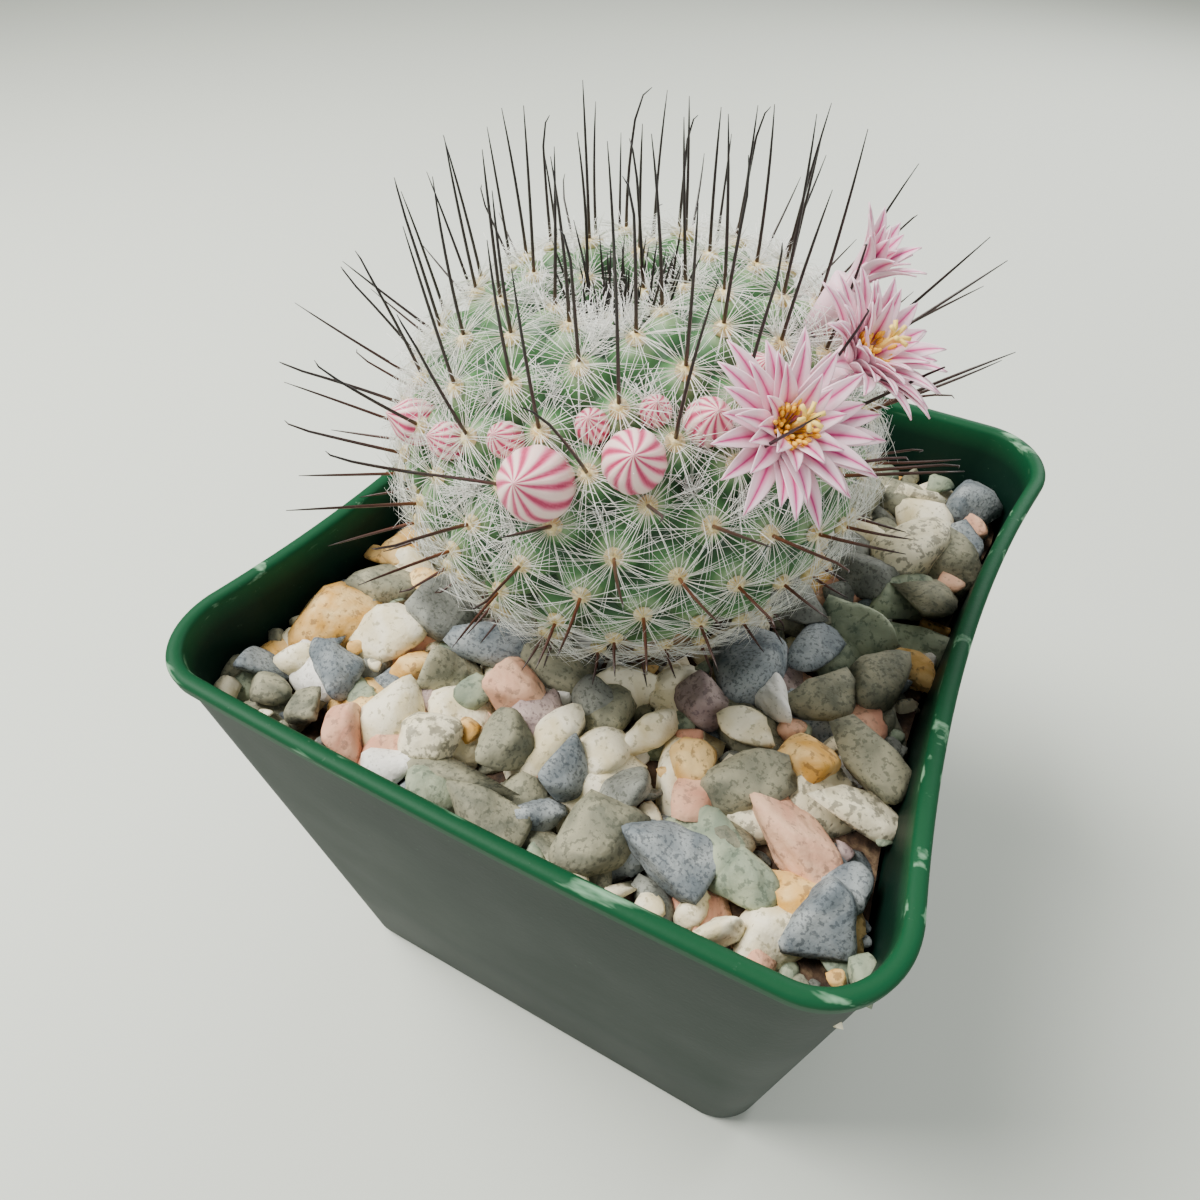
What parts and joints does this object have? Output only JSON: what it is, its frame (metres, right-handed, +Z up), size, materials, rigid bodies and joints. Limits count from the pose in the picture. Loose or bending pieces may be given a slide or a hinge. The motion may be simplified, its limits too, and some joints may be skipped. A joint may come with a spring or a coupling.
{
  "type": "potted round cactus",
  "caption": "Round pincushion cactus in flower with dark central spines, in a square green nursery pot topped with mixed gravel.",
  "frame": {"origin": "middle of the pot's flat underside, on the surface it stands on", "axes": "+Z up; the pot's walls face -X, +X, -Y and +Y; -Y is the front"},
  "size_m": [0.072, 0.0776, 0.1089],
  "materials": {
    "bud_pink": "bud tepals",
    "gravel": "mixed grit",
    "petal_pink": "petals",
    "pollen_yellow": "anthers",
    "pot_plastic": "semi-gloss moulded polypropylene",
    "root_bark": "dry root skin",
    "soil": "damp peat and grit",
    "spine_dark": "horny spine",
    "stem_green": "succulent skin",
    "stigma_yellow": "stigma",
    "stone_blue_grey": "broken river gravel",
    "stone_cream": "broken river gravel",
    "stone_mauve": "broken river gravel",
    "stone_ochre": "broken river gravel",
    "stone_olive": "broken river gravel",
    "stone_salmon": "broken river gravel",
    "stone_slate": "broken river gravel",
    "wool": "areole wool"
  },
  "bodies": {
    "root": {"bud_01": "bud_pink", "bud_02": "bud_pink", "bud_03": "bud_pink", "bud_04": "bud_pink", "bud_05": "bud_pink", "bud_06": "bud_pink", "bud_07": "bud_pink", "bud_08": "bud_pink", "bud_09": "bud_pink", "bud_10": "bud_pink", "cactus_stem": "stem_green", "crown_tuft": "wool", "flower_1_petals": "petal_pink", "flower_1_stamens": "pollen_yellow", "flower_1_stigma": "stigma_yellow", "flower_2_petals": "petal_pink", "flower_2_stamens": "pollen_yellow", "flower_2_stigma": "stigma_yellow", "flower_3_petals": "petal_pink", "gravel_bed": "gravel", "pot": "pot_plastic", "potting_mix": "soil", "root": "root_bark", "spine_row_01": "spine_dark", "spine_row_02": "spine_dark", "spine_row_03": "spine_dark", "spine_row_04": "spine_dark", "spine_row_05": "spine_dark", "spine_row_06": "spine_dark", "spine_row_07": "spine_dark", "spine_row_08": "spine_dark", "spine_row_09": "spine_dark", "spine_row_10": "spine_dark", "spine_row_11": "spine_dark", "spine_row_12": "spine_dark", "spine_row_13": "spine_dark", "stone_01": "stone_blue_grey", "stone_02": "stone_salmon", "stone_03": "stone_blue_grey", "stone_04": "stone_olive", "stone_05": "stone_ochre", "stone_06": "stone_cream", "stone_07": "stone_olive", "stone_08": "stone_olive", "stone_09": "stone_blue_grey", "stone_10": "stone_olive", "stone_11": "stone_cream", "stone_12": "stone_ochre", "stone_13": "stone_cream", "stone_14": "stone_mauve", "stone_15": "stone_slate", "stone_16": "stone_salmon", "stone_17": "stone_olive", "stone_18": "stone_cream", "stone_19": "stone_salmon", "stone_20": "stone_blue_grey", "stone_21": "stone_blue_grey", "stone_22": "stone_olive"}
  },
  "joints": []
}
